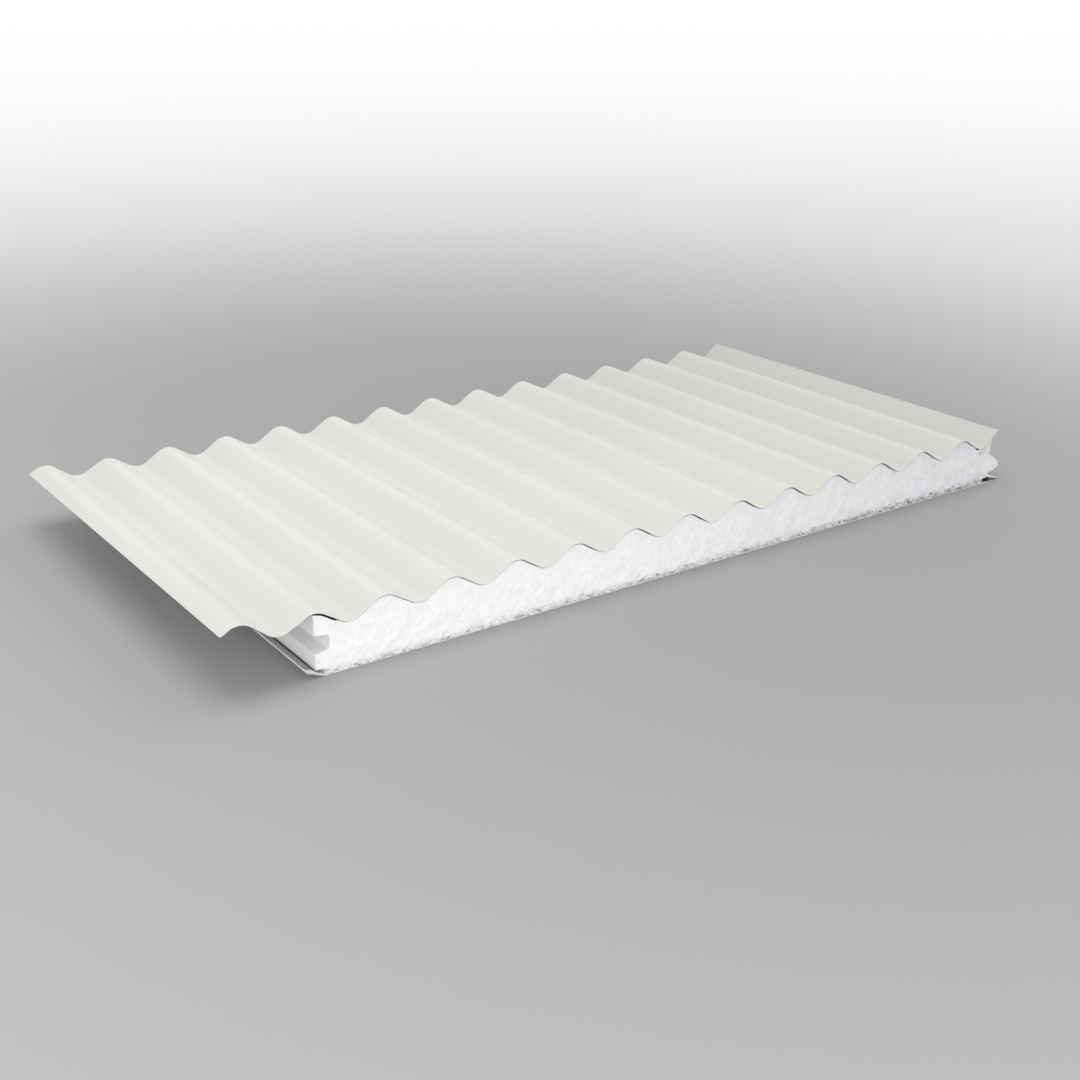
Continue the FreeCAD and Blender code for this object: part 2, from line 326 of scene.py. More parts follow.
TAPER = (MOUTH_HALF - FLOOR_HALF) / GROOVE_DEEP
TAPER_ANGLE = math.atan(TAPER)
print("rebate over the flange", [round(side / MM, 2) for side in FLANGE_REBATE])

# %% A pen for the outline
CORNER_STEPS = 5


def corner_rest(radius, turn):
    """How much of a side its rounded corner takes."""
    return radius * math.tan(abs(turn) / 2)


class Outline(Pen):
    """A pen that can also run straight to a place, round a sharp corner."""

    def to(self, x, z):
        step = Vector((x, self.place.y, z)) - self.place
        self.heading = math.atan2(step.z, step.x)
        self.straight(step.length)

    def run_rounded(self, first, turn, radius, second):
        """Two tapered sides and the level one between them, with rounded corners."""
        rest = corner_rest(radius, turn)
        self.straight(first - rest)
        self.bend(radius, turn, CORNER_STEPS)
        self.straight(second - 2 * rest)
        self.bend(radius, turn, CORNER_STEPS)
        self.straight(first - rest)


# %% Draw the foam's section
corner = Vector((foam_low.x, FRONT, foam_high.z))
foam = start_point("foam_block", corner)
pen = Outline(corner)
for _ in range(WAVES - 1):
    wave_on(pen, GLUE_LINE)
pen.bend(BEND - GLUE_LINE, -FLANK_ANGLE, BEND_STEPS // 2)
pen.straight(FLANK_RUN)
pen.bend(BEND + GLUE_LINE, FLANK_ANGLE + LIP_ANGLE, BEND_STEPS)
pen.straight((FOAM_RIGHT - pen.place.x) / math.cos(LIP_ANGLE))
SHOULDER_Z = pen.place.z

root_half = MOUTH_HALF - TONGUE_PLAY + TAPER * FOAM_GAP
tip_half = MOUTH_HALF - TONGUE_PLAY + TAPER * (FOAM_GAP - TONGUE_REACH)
pen.to(FOAM_RIGHT, JOINT_Z + root_half)
pen.heading = -TAPER_ANGLE
pen.run_rounded(
    TONGUE_REACH / math.cos(TAPER_ANGLE), TAPER_ANGLE - math.pi / 2, TONGUE_ROUND, 2 * tip_half
)
pen.to(FOAM_RIGHT, SKIN)
pen.to(FLANGE_REBATE[0], SKIN)
pen.to(*FLANGE_REBATE)
pen.to(foam_low.x, FLANGE_REBATE[1])
pen.to(foam_low.x, JOINT_Z - MOUTH_HALF)
pen.heading = TAPER_ANGLE
pen.run_rounded(
    GROOVE_DEEP / math.cos(TAPER_ANGLE), math.pi / 2 - TAPER_ANGLE, GROOVE_ROUND, 2 * FLOOR_HALF
)
pen.to(foam_low.x, foam_high.z)
bpy.ops.mesh.select_all(action="SELECT")
bpy.ops.mesh.remove_doubles(threshold=SAME_PLACE)
bpy.ops.mesh.edge_face_add()
print("outline points", len(bmesh.from_edit_mesh(foam.data).verts), "shoulder", SHOULDER_Z)

# %% Cut the face into a fine grid
GRAIN = 1.6 * MM
CRUMBLY_ROWS = 4


def cut_all(place, across):
    """Cut all that is drawn by a plane, and keep both halves."""
    bpy.ops.mesh.select_all(action="SELECT")
    bpy.ops.mesh.bisect(plane_co=place, plane_no=across)


columns = round((foam_high.x - foam_low.x) / GRAIN)
for number in range(1, columns):
    cut_all((foam_low.x + number * GRAIN, FRONT, 0), (1, 0, 0))
rows = round((foam_high.z - SKIN) / GRAIN)
for number in range(1, rows):
    cut_all((0, FRONT, SKIN + number * GRAIN), (0, 0, 1))
for number in range(CRUMBLY_ROWS):
    cut_all((0, FRONT, SKIN + (number + 0.5) * GRAIN), (0, 0, 1))
print("cut face", len(bmesh.from_edit_mesh(foam.data).faces))

# %% Draw the block out
STEPS_BACK = [30 * MM, 30 * MM, 70 * MM, 145 * MM, 145 * MM, 70 * MM, 30 * MM, 30 * MM]
for step in STEPS_BACK:
    bpy.ops.mesh.select_all(action="DESELECT")
    reached = max(point.co.y for point in bmesh.from_edit_mesh(foam.data).verts)
    pick(lambda place, normal: abs(place.y - reached) < SAME_PLACE, "FACE")
    bpy.ops.mesh.extrude_region_move(TRANSFORM_OT_translate={"value": (0, step, 0)})
bpy.ops.mesh.select_all(action="SELECT")
bpy.ops.mesh.remove_doubles(threshold=SAME_PLACE / 2)
bpy.ops.mesh.select_all(action="SELECT")
bpy.ops.mesh.normals_make_consistent(inside=False)
foam.data.materials.append(bpy.data.materials.new("cut_foam"))
foam.data.materials.append(bpy.data.materials.new("moulded_foam"))
pick(lambda place, normal: abs(normal.y) < 0.5, "FACE")
foam.active_material_index = 1
bpy.ops.object.material_slot_assign()
bpy.ops.object.mode_set(mode="OBJECT")
print("foam triangles", sum(len(face.vertices) - 2 for face in foam.data.polygons))

# %% [markdown]
# ## What the saw and the road did
#
# Sawn bead foam is never flat. Whole beads pull out, mostly along the thin edge at the
# liner and more towards the right. The front end of the tongue has been crushed, so it
# hangs lower than the rest of the tongue behind it. And along the cut the foam has let
# go of the sheet: a black gap under the first glued crest, hair lines on the others
# and on the flanks that fall to the right, and one more gap beside the last valley.
#
# Crushing and sagging are smooth, so points are simply moved by a rule. The pulled
# beads are written down as weights in a vertex group instead, and a Displace modifier
# moves the points inwards by them. The same numbers are kept as an attribute that tells
# the paint where to darken the deep hollows, as painted shade. Where the sag lays the
# foam's top bare at a cut, those faces get a near-black finish of their own: painted
# shade in the gap.

# %% Crush the front end of the tongue
CRUSH_BACK = 75 * MM
CRUSH_LEFT = 26 * MM
ROOT_LOW, ROOT_HIGH = JOINT_Z - root_half, JOINT_Z + root_half
# Millimetres above the floor at the tongue's root, and the change towards its tip.
CRUSHED_LOW, LOW_RISES = 12, 5
CRUSHED_HIGH, HIGH_FALLS = 37, 13


def part_of(value, start, end):
    """How far a value is from start to end, kept between 0 and 1."""
    return min(1.0, max(0.0, (value - start) / (end - start)))


def crushed(place):
    """Height that a point below the shoulder, near the right front, is pushed to."""
    reach = part_of(place.x, FOAM_RIGHT, foam_high.x)
    near = part_of(place.y, FRONT + CRUSH_BACK, FRONT) ** 1.5
    share = near * part_of(place.x, FOAM_RIGHT - CRUSH_LEFT, FOAM_RIGHT) ** 2
    taper = TAPER * TONGUE_REACH * reach
    old = [SKIN, ROOT_LOW + taper, ROOT_HIGH - taper, SHOULDER_Z]
    low = (CRUSHED_LOW + LOW_RISES * reach) * MM
    high = (CRUSHED_HIGH - HIGH_FALLS * reach**1.3) * MM
    new = [SKIN, low, high, SHOULDER_Z]
    zone = sum(place.z >= level for level in old[1:3])
    along = part_of(place.z, old[zone], old[zone + 1])
    goal = new[zone] + along * (new[zone + 1] - new[zone])
    return place.z + (goal - place.z) * share


for point in foam.data.vertices:
    if point.co.x > FOAM_RIGHT - CRUSH_LEFT and SKIN < point.co.z < SHOULDER_Z:
        point.co.z = crushed(point.co)
print("tongue crushed to", round(crushed(Vector((foam_high.x, FRONT, JOINT_Z))) / MM, 1))

# %% Let the foam sag away from the sheet
SAG_ZONE = 14 * MM
# Heights of the gaps, from the first crest to the lip. Places are counted in waves.
FIRST_GAP = 2.6 * MM
LIP_GAP = 0.7 * MM
TORN_GAP, TORN_AT = 1.8 * MM, 12.43
HAIR, HAIR_GROWS = 0.65, 0.45
LAST_HAIR, LAST_SHIFT = 0.9 * MM, 0.07
THINNEST_SEEN = 0.2 * MM


def gap_at(x):
    """Height of the gap between the foam and the sheet at a saw cut."""
    wave = (x - FIRST_CREST) / PITCH
    from_crest = (wave + 0.5) % 1.0 - 0.5
    if wave < 0.42:
        return FIRST_GAP * part_of(wave, 0.42, 0.27)
    if wave > 12.5:
        return LIP_GAP * part_of(wave, 12.9, 12.6)
    hair = (HAIR + HAIR_GROWS * part_of(wave, 1, 6)) * MM
    torn = TORN_GAP * part_of(abs(wave - TORN_AT), 0.08, 0.02)
    if wave > 11.5:
        hair, from_crest = LAST_HAIR, from_crest + LAST_SHIFT
    shut = part_of(abs(from_crest - 0.08), 0.34, 0.18)
    return max(hair * shut, torn)


def points_at(y):
    """The foam's points on the saw cut at y."""
    return [point for point in foam.data.vertices if abs(point.co.y - y) < SAME_PLACE]


for y in (FRONT, BACK):
    top = {}
    for point in points_at(y):
        key = round(point.co.x / SAME_PLACE)
        top[key] = max(top.get(key, 0.0), point.co.z)
    for point in points_at(y):
        below = top[round(point.co.x / SAME_PLACE)] - point.co.z
        if point.co.x < FOAM_RIGHT + SAME_PLACE and point.co.z > SHOULDER_Z - SAG_ZONE:
            point.co.z -= gap_at(point.co.x) * part_of(below, SAG_ZONE, 0)
# The foam's top that the sag lays bare at a cut gets a near-black finish: painted shade in the
# gap under the sheet.
foam.data.materials.append(bpy.data.materials.new("gap_shade"))
glued = 0
for face in foam.data.polygons:
    at_cut = abs(face.center.y) > LENGTH / 2 - STEPS_BACK[0]
    on_top = face.normal.z > 0.5 and face.center.z > SHOULDER_Z - SAG_ZONE
    if at_cut and on_top and gap_at(face.center.x) > THINNEST_SEEN:
        face.material_index = 2
        glued += 1
print("faces of bare glue", glued)

# %% List the pulled beads
DEEPEST = 20 * MM
BEAD_HOLES, SPOT_HOLES = 420, 16
# Smallest and largest hollows, in millimetres.
HOLE_REACH, HOLE_DEPTH = (0.9, 2.1), (1.5, 4.5)
SPOT_REACH, SPOT_DEPTH = (0.8, 1.4), (2, 4)
HOLES_HIGH = 2.6 * MM
random.seed(378)
# Across, up, reach and depth of the two large pieces torn out by the folds.
TORN_OUT = [
    (FLANGE_REBATE[0] + 3 * MM, SKIN + 2.5 * MM, 2.2 * MM, 7 * MM),
    (FOAM_RIGHT + 0.5 * MM, SKIN + 2.6 * MM, 3.2 * MM, DEEPEST),
]
# Across, up, width and height of the places where the foam has crumbled.
CRUMBLY_SPOTS = [
    (FIRST_CREST + 12 * PITCH, 60 * MM, 13 * MM, 4 * MM),
    (FOAM_RIGHT - 14 * MM, 44 * MM, 9 * MM, 4 * MM),
    (FOAM_RIGHT - 16 * MM, 9 * MM, 8 * MM, 4 * MM),
]


def pulled_beads():
    """Middle, reach and depth of every hollow in a sawn face."""
    holes = list(TORN_OUT)
    for x, z, wide, high in CRUMBLY_SPOTS:
        for _ in range(SPOT_HOLES):
            place = (random.gauss(x, wide / 2), random.gauss(z, high / 2))
            reach = random.uniform(*SPOT_REACH) * MM
            holes.append((*place, reach, random.uniform(*SPOT_DEPTH) * MM))
    for _ in range(BEAD_HOLES):
        share = random.random() ** 0.6
        x = foam_low.x + share * (FOAM_RIGHT - foam_low.x)
        z = SKIN + abs(random.gauss(0, HOLES_HIGH))
        reach = random.uniform(*HOLE_REACH) * MM
        holes.append((x, z, reach, random.uniform(*HOLE_DEPTH) * MM))
    return holes


# %% Write them down as weights
LONG = 1.6
CRUMBLED = 1.2 * MM
CRUMBLY_X = (-0.45, 0.1)
CRUMBLY_HIGH = 3.5 * MM
HOLLOW_SHADE_DEPTH = 4 * MM


def damage(y):
    """Depth of the damage at every point of the sawn face at y."""
    face = points_at(y)
    tree = KDTree(len(face))
    for number, point in enumerate(face):
        tree.insert(point.co, number)
    tree.balance()
    depth = []
    for point in face:
        crumbly = part_of(point.co.x, *CRUMBLY_X) * part_of(point.co.z, CRUMBLY_HIGH, SKIN)
        depth.append(CRUMBLED * crumbly)
    for x, z, reach, deep in pulled_beads():
        for place, number, _ in tree.find_range((x, y, z), reach * LONG):
            off = math.hypot((place.x - x) / LONG, place.z - z) / reach
            if off < 1:
                depth[number] = max(depth[number], deep * (1 - off * off) + depth[number] / 2)
    return face, depth


# Each point keeps how deep its hollow is, so that the paint can darken the deep ones as painted
# shade.
hollow_shades = [0.0] * len(foam.data.vertices)
for name, y in (("front", FRONT), ("back", BACK)):
    face, depth = damage(y)
    lumps = foam.vertex_groups.new(name=f"lumps_{name}")
    lumps.add([point.index for point in face], 1.0, "REPLACE")
    hollows = foam.vertex_groups.new(name=f"hollows_{name}")
    for point, deep in zip(face, depth):
        hollow_shades[point.index] = deep / HOLLOW_SHADE_DEPTH
        if deep:
            hollows.add([point.index], deep / DEEPEST, "REPLACE")
    print(name, "face", len(face), "points,", sum(1 for deep in depth if deep), "in hollows")
foam.data.attributes.new("hollow_shade", "FLOAT", "POINT").data.foreach_set("value", hollow_shades)

# %% Tear the faces
# How wide each kind of lump is, and how deep.
LUMPS = {"clouds": (16 * MM, 3.4 * MM), "crumbs": (5 * MM, 2.0 * MM)}
FOAM_CREASE = 60
only(foam)


def push_in(name, inwards, group, distance, **settings):
    """Displace one sawn face inwards, by the weights of a vertex group."""
    finish_with(
        foam,
        "DISPLACE",
        direction="Y",
        mid_level=0.0,
        strength=inwards * distance,
        vertex_group=f"{group}_{name}",
        **settings,
    )


for name, inwards in (("front", 1), ("back", -1)):
    push_in(name, inwards, "hollows", DEEPEST)
    for texture_name, (grain, strength) in LUMPS.items():
        texture = bpy.data.textures.new(f"{texture_name}_{name}", "CLOUDS")
        texture.noise_scale = grain
        push_in(name, inwards, "lumps", strength, texture=texture, texture_coords="LOCAL")
smooth(foam, FOAM_CREASE)
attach(foam, "root")
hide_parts("foam_core")
print("foam from", round(min(point.co.y for point in foam.data.vertices), 5))

# %% [markdown]
# ## Painting with sums
#
# Every finish below is made of nodes: noise for the paint, cells for the beads, masks
# for where a coat ends. Wiring nodes by hand hides the sums they stand for. So a small
# class wraps an output socket, and lets it be added, multiplied and compared like a
# number. Each sum adds its Math node.

# %% Wires
class Wire:
    """A node's output that can be used in sums."""

    def __init__(self, finish, socket):
        self.finish = finish
        self.socket = socket

    def sum_with(self, operation, first, second=0.0):
        return self.finish.add("ShaderNodeMath", {"operation": operation}, {0: first, 1: second})

    def __add__(self, other):
        return self.sum_with("ADD", self, other)

    def __sub__(self, other):
        return self.sum_with("SUBTRACT", self, other)

    def __rsub__(self, other):
        return self.sum_with("SUBTRACT", other, self)

    def __mul__(self, other):
        return self.sum_with("MULTIPLY", self, other)

    def __truediv__(self, other):
        return self.sum_with("DIVIDE", self, other)

    def __pow__(self, other):
        return self.sum_with("POWER", self, other)

    def __gt__(self, other):
        return self.sum_with("GREATER_THAN", self, other)

    def __lt__(self, other):
        return self.sum_with("LESS_THAN", self, other)

    __radd__ = __add__
    __rmul__ = __mul__


# %% Finishes
class Finish:
    """A material, started from the empty one of a name."""

    def __init__(self, name, **constants):
        self.material = bpy.data.materials.get(name) or bpy.data.materials.new(name)
        self.material.use_nodes = True
        self.tree = self.material.node_tree
        self.shader = self.tree.nodes["Principled BSDF"]
        for socket, value in constants.items():
            self.shader.inputs[socket.replace("_", " ").title()].default_value = value
        self.place = self.add("ShaderNodeTexCoord", output="Object")

    def add(self, kind, settings=None, sockets=None, output=0):
        """Any node: its settings, then the values or links of its sockets."""
        node = self.tree.nodes.new(kind)
        for name, value in (settings or {}).items():
            setattr(node, name, value)
        for socket, value in (sockets or {}).items():
            self.feed(node.inputs[socket], value)
        return Wire(self, node.outputs[output])

    def feed(self, socket, value):
        if isinstance(value, Wire):
            self.tree.links.new(value.socket, socket)
        else:
            socket.default_value = value

    def stretched(self, x, y, z):
        """The place on the piece, with a pattern's size along each axis."""
        return self.add("ShaderNodeMapping", None, {"Vector": self.place, "Scale": (x, y, z)})

    def axis(self, name):
        """How far along one axis a point of the piece lies."""
        return self.add("ShaderNodeSeparateXYZ", None, {"Vector": self.place}, name)

    def noise(self, scale, detail=2.0, place=None, roughness=0.5):
        sockets = {"Vector": place or self.place, "Scale": scale, "Detail": detail}
        sockets["Roughness"] = roughness
        return self.add("ShaderNodeTexNoise", None, sockets)

    def ramp(self, value, low, high):
        """0 below low, 1 above high, and smooth between them."""
        settings = {"interpolation_type": "SMOOTHSTEP"}
        return self.add(
            "ShaderNodeMapRange", settings, {"Value": value, "From Min": low, "From Max": high}
        )

    def mix(self, share, first, second):
        """The first colour where the share is 0, the second where it is 1."""
        settings = {"data_type": "RGBA"}
        return self.add("ShaderNodeMix", settings, {0: share, 6: first, 7: second}, 2)

    def bump(self, height, distance, strength=1.0, onto=None):
        """A fine relief, on top of another where one is given."""
        sockets = {"Height": height, "Distance": distance, "Strength": strength}
        if onto:
            sockets["Normal"] = onto
        return self.add("ShaderNodeBump", None, sockets)

    def show(self, **sockets):
        """Feed the finished colour, roughness and relief to the shader."""
        for name, value in sockets.items():
            self.feed(self.shader.inputs[name.replace("_", " ").title()], value)


# %% [markdown]
# ## Weather coat
#
# Coil coating is baked on before the sheet is bent, so it is very even: a satin
# off-white with a breath of green, an orange peel too fine to see but fine enough to
# spread a highlight, and faint streaks along the waves where the rollers ran. Flat
# steel also never stays quite flat, so long, shallow swells bend the light along it.
# A plain colour would look like plastic; a strong texture would look like plaster.

# %% Weather coat
coat = Finish("weather_coat")
clouds = coat.noise(2.6)
streaks = coat.noise(1.0, 3.0, coat.stretched(110, 1.6, 110))
shade = coat.ramp(clouds * 0.7 + streaks * 0.3, 0.3, 0.7)
# The valleys are painted a little darker: painted shade.
valley_shade = 1 - coat.ramp(coat.axis("Z"), 50 * MM, 58 * MM)
tint = coat.mix(shade, (0.555, 0.548, 0.520, 1), (0.585, 0.578, 0.550, 1))
tint = coat.mix(valley_shade * 0.12, tint, (0.520, 0.513, 0.482, 1))
peel = coat.bump(coat.noise(1100, 1.0), 0.02 * MM, 0.35)
swell = coat.bump(coat.noise(1.0, 1.0, coat.stretched(9, 3.2, 9)), 1.2 * MM, 0.5, peel)
coat.show(base_color=tint, roughness=0.36 + clouds * 0.08 + streaks * 0.06, normal=swell)
print("weather coat", len(coat.tree.nodes), "nodes")

# %% [markdown]
# ## Backing coat and cut steel
#
# The underside of the lap has the thin grey coat that no one is meant to see: duller,
# and mottled. The cut edge is where the shears went through: dark steel, brown in
# places. The edge is drawn dark only on the crests, on the flanks that fall to the right
# and on the lip, where the dark also stands for painted shade of the gap under the edge.
# On the flanks that face left it is drawn light grey.

# %% Backing coat
backing = Finish("backing_coat")
mottle = backing.noise(60, 4.0)
backing.show(
    base_color=backing.mix(mottle, (0.64, 0.64, 0.635, 1), (0.74, 0.74, 0.73, 1)),
    roughness=0.5 + mottle * 0.2,
    normal=backing.bump(backing.noise(900, 1.0), 0.02 * MM, 0.4),
)

print("backing coat", len(backing.tree.nodes), "nodes")

# %% Cut steel
LIP_STARTS = FOAM_RIGHT - 24 * MM
steel = Finish("cut_steel", metallic=0.3)
# Dark steel with painted shade of the gap on crests, right-falling flanks and the lip; light
# grey on flanks that face left.
wave = (steel.axis("X") - FIRST_CREST) / PITCH + 8.0
phase = steel.add("ShaderNodeMath", {"operation": "FRACT"}, {0: wave})
dark_edge_and_shade = 1 - steel.ramp(phase, 0.38, 0.50)
dark_edge_and_shade = dark_edge_and_shade + steel.ramp(phase, 0.84, 0.95)
on_lip = steel.ramp(steel.axis("X"), LIP_STARTS, LIP_STARTS + 6 * MM)
dark_edge_and_shade = dark_edge_and_shade + on_lip * 0.8
ragged = steel.noise(420, 3.0)
dark = steel.mix(ragged, (0.012, 0.009, 0.007, 1), (0.055, 0.040, 0.030, 1))
pale_edge = steel.mix(ragged, (0.50, 0.49, 0.45, 1), (0.70, 0.70, 0.66, 1))
steel.show(
    base_color=steel.mix(dark_edge_and_shade, pale_edge, dark),
    roughness=0.45 + ragged * 0.3,
    normal=steel.bump(ragged, 0.05 * MM, 0.6),
)
print("cut steel", len(steel.tree.nodes), "nodes")

# %% [markdown]
# ## Foam
#
# Bead foam is made of puffed white grains, two to four millimetres across, pressed
# together. Where it is moulded, its skin is smooth and only hints at them. Where it is
# sawn, each bead is a small dome with a faint grey seam round it, some are torn open,
# and the edge at the liner is greyer, with dark specks. The deep hollows are painted
# near black, as painted shade. Cells from a Voronoi texture are the natural tool: their
# distance gives the domes and seams, and their random colour makes each bead a little
# lighter or darker.

# %% Bead cells
BEADS = 340.0
CRUMBS = 620.0


def bead_cells(finish, scale, feature):
    """Distance within the cells of a Voronoi pattern."""
    sockets = {"Vector": finish.place, "Scale": scale}
    return finish.add("ShaderNodeTexVoronoi", {"feature": feature}, sockets)


def bead_shades(finish, scale):
    """A random number for every cell of the same pattern."""
    sockets = {"Vector": finish.place, "Scale": scale}
    colour = finish.add("ShaderNodeTexVoronoi", {"feature": "F1"}, sockets, "Color")
    return finish.add("ShaderNodeSeparateColor", None, {0: colour})


# %% Sawn foam
sawn = Finish("cut_foam")
seam = 1 - sawn.ramp(bead_cells(sawn, BEADS, "DISTANCE_TO_EDGE"), 0.0, 0.16)
bead = bead_shades(sawn, BEADS)
lumps = sawn.noise(60, 4.0)
hollow_shade = sawn.add("ShaderNodeAttribute", {"attribute_name": "hollow_shade"}, None, "Fac")
right_end = sawn.ramp(sawn.axis("X"), -0.3, 0.5)
white = sawn.mix(bead, (0.91, 0.91, 0.915, 1), (0.95, 0.95, 0.955, 1))
white = sawn.mix(right_end * 0.7, white, (0.86, 0.845, 0.88, 1))
white = sawn.mix(seam * 0.15, white, (0.70, 0.70, 0.73, 1))
patches = sawn.ramp(sawn.noise(120, 6.0, None, 0.72), 0.40, 0.60)
white = sawn.mix((1 - patches) * (0.12 + right_end * 0.4), white, (0.76, 0.75, 0.79, 1))
low_edge = 1 - sawn.ramp(sawn.axis("Z"), 2 * MM, 9 * MM)
crumbs = sawn.ramp(bead_shades(sawn, CRUMBS), 0.30, 0.75)
white = sawn.mix((1 - crumbs) * low_edge * 0.35, white, (0.52, 0.51, 0.53, 1))
grit = sawn.noise(1.0, 2.0, sawn.stretched(420, 420, 640))
specks = sawn.ramp(grit, 0.61, 0.64) * low_edge * (0.1 + right_end * 0.8)
white = sawn.mix(specks, white, (0.09, 0.08, 0.07, 1))
# Deep hollows are painted near black: painted shade, stronger towards the right.
painted_hole_shade = sawn.ramp(hollow_shade, 0.7, 1.5) * (0.4 + right_end * 0.6)
white = sawn.mix(painted_hole_shade, white, (0.035, 0.030, 0.026, 1))
domes = bead_cells(sawn, BEADS, "F1")
relief = sawn.bump(1 - domes, 0.8 * MM, 0.35)
relief = sawn.bump(lumps + sawn.noise(260, 3.0) * 0.35, 3.0 * MM, 0.7, relief)
sawn.show(base_color=white, roughness=0.75 + bead * 0.2, normal=relief)
print("cut foam", len(sawn.tree.nodes), "nodes")

# %% Painted shade in the gaps
# Near black and mottled: painted shade on the foam inside the gaps under the sheet.
gap_shade_finish = Finish("gap_shade")
shade_mottle = gap_shade_finish.noise(240, 4.0)
gap_shade_finish.show(
    base_color=gap_shade_finish.mix(shade_mottle, (0.010, 0.008, 0.007, 1), (0.040, 0.030, 0.022, 1)),
    roughness=0.7 + shade_mottle * 0.2,
    normal=gap_shade_finish.bump(shade_mottle, 0.3 * MM, 0.5),
)
print("bare glue", len(gap_shade_finish.tree.nodes), "nodes")

# %% Moulded foam
moulded = Finish("moulded_foam")
seam = 1 - moulded.ramp(bead_cells(moulded, BEADS, "DISTANCE_TO_EDGE"), 0.0, 0.12)
bead = bead_shades(moulded, BEADS)
skin = moulded.mix(bead, (0.83, 0.83, 0.84, 1), (0.88, 0.88, 0.885, 1))
skin = moulded.mix(seam * 0.2, skin, (0.66, 0.66, 0.68, 1))
moulded.show(
    base_color=skin,
    roughness=0.6 + bead * 0.15,
    normal=moulded.bump(seam, 0.15 * MM, 0.5),
)
print("moulded foam", len(moulded.tree.nodes), "nodes")

# %% [markdown]
# ## Liner
#
# The liner is the ceiling side of the panel. Its solid already has the folded edge and
# the hemmed flange, so it stays as it is and only gets its paint: whiter than the
# weather coat, a little scuffed, with a bright sheared edge at both saw cuts. The side
# that faces the foam was never painted white. It has a grey primer, which shows on the
# flange, foam dust at its ends and scraps of foam where the glue held. Inside the fold
# it is painted near black, as painted shade.

# %% White paint of the liner
liner = Finish("liner_coat")
scuffs = liner.noise(1.0, 4.0, liner.stretched(260, 14, 260))
broad = liner.noise(5.0)
paint = liner.mix(broad, (0.74, 0.74, 0.725, 1), (0.80, 0.80, 0.785, 1))
paint = liner.mix(liner.ramp(scuffs, 0.62, 0.75) * 0.4, paint, (0.60, 0.60, 0.58, 1))

# %% Where its inner side is
FLANGE_ROOT = foam_low.x + FLANGE_SETBACK
FLANGE_INNER, TRAY_INNER = 0.32 * MM, 0.36 * MM
TRAY_TOP = 0.9 * MM
HEM_BEND = 1.2 * MM
across, height = liner.axis("X"), liner.axis("Z")
on_flange = across < FLANGE_ROOT - SKIN
height = height - (FLANGE_ROOT - across) * math.tan(FLANGE_SLOPE) * on_flange
bent_edge = across < liner_low.x + HEM_BEND
inner = on_flange * (height > FLANGE_INNER) * (1 - bent_edge)
inner = inner + (1 - on_flange) * (height > TRAY_INNER) * (height < TRAY_TOP)
far = liner.add("ShaderNodeMath", {"operation": "ABSOLUTE"}, {0: liner.axis("Y")})
print("flange starts at", round(FLANGE_ROOT, 4))

# %% Primer, glue, dust and painted shade in the fold
FOLD_LEFT, FOLD_RIGHT = FOAM_RIGHT - 6 * MM, FOAM_RIGHT + 8 * MM
FOLD_IN_FROM = LENGTH / 2 - 2.2 * MM
DUST_FROM, DUST_RAGGED = LENGTH / 2 - 4 * MM, 8 * MM
primer = liner.mix(liner.noise(220, 3.0), (0.30, 0.295, 0.28, 1), (0.40, 0.395, 0.375, 1))
glued = (1 - on_flange) * liner.ramp(liner.noise(190, 3.0), 0.40, 0.56)
primer = liner.mix(glued, primer, (0.78, 0.78, 0.76, 1))
# Inside the fold the inner side is painted near black: painted shade.
fold_shade = (across > FOLD_LEFT) * (across < FOLD_RIGHT) * (far < FOLD_IN_FROM)
primer = liner.mix(fold_shade, primer, (0.030, 0.027, 0.024, 1))
dusty = far + liner.noise(150, 3.0) * DUST_RAGGED > DUST_FROM
primer = liner.mix(dusty * on_flange, primer, (0.86, 0.86, 0.86, 1))
paint = liner.mix(inner, paint, primer)

# %% Sheared edge, and the finished liner
SHEARED_FROM = LENGTH / 2 - 0.02 * MM
sheared = far > SHEARED_FROM
edge = liner.mix(liner.noise(500, 2.0), (0.66, 0.66, 0.65, 1), (0.84, 0.84, 0.83, 1))
liner.show(
    base_color=liner.mix(sheared, paint, edge),
    roughness=0.34 + scuffs * 0.15,
    metallic=sheared * 0.2,
    normal=liner.bump(liner.noise(1000, 1.0), 0.02 * MM, 0.3),
)
tray = bpy.data.objects["bottom_sheet"]
for number in range(len(tray.data.materials)):
    tray.data.materials[number] = liner.material
print("liner", len(liner.tree.nodes), "nodes")

# %% [markdown]
# ## Floor
#
# A sample like this is shown on a pale sweep. A curved backdrop would do, but a plane
# that reaches past the top of the view is simpler, and looks the same from every side.
# It is grey near the panel and pale further off, as its paint and a little glow of its
# own change with the distance. Both are only what the eye sees: the light that the
# floor throws back under the lap comes from one even grey. The floor lies a hair below
# the panel, so that the two never fight for one plane.

# %% Floor
FLOOR_SIZE = 80
FLOOR_BACK = 20
UNDER = 0.2 * MM
FADE, FADE_FROM = 2.4, 3.8
bpy.ops.object.select_all(action="DESELECT")
bpy.ops.mesh.primitive_grid_add(
    x_subdivisions=8, y_subdivisions=8, size=FLOOR_SIZE, location=(0, FLOOR_BACK, -UNDER)
)
bpy.ops.object.transform_apply(location=True, rotation=True, scale=True)
floor = bpy.context.object
floor.name = "studio_floor"
sweep = Finish("studio_floor")
dust = sweep.noise(14, 3.0)
away = sweep.add("ShaderNodeVectorMath", {"operation": "LENGTH"}, {0: sweep.place}, 1)
share = away**FADE / (away**FADE + FADE_FROM)
SEEN_RAYS = ("Is Camera Ray", "Is Glossy Ray", "Is Transmission Ray")
direct, glossy, passed = (sweep.add("ShaderNodeLightPath", output=ray) for ray in SEEN_RAYS)
seen = direct + glossy + passed
near_grey = sweep.mix(dust, (0.268, 0.268, 0.268, 1), (0.280, 0.280, 0.280, 1))
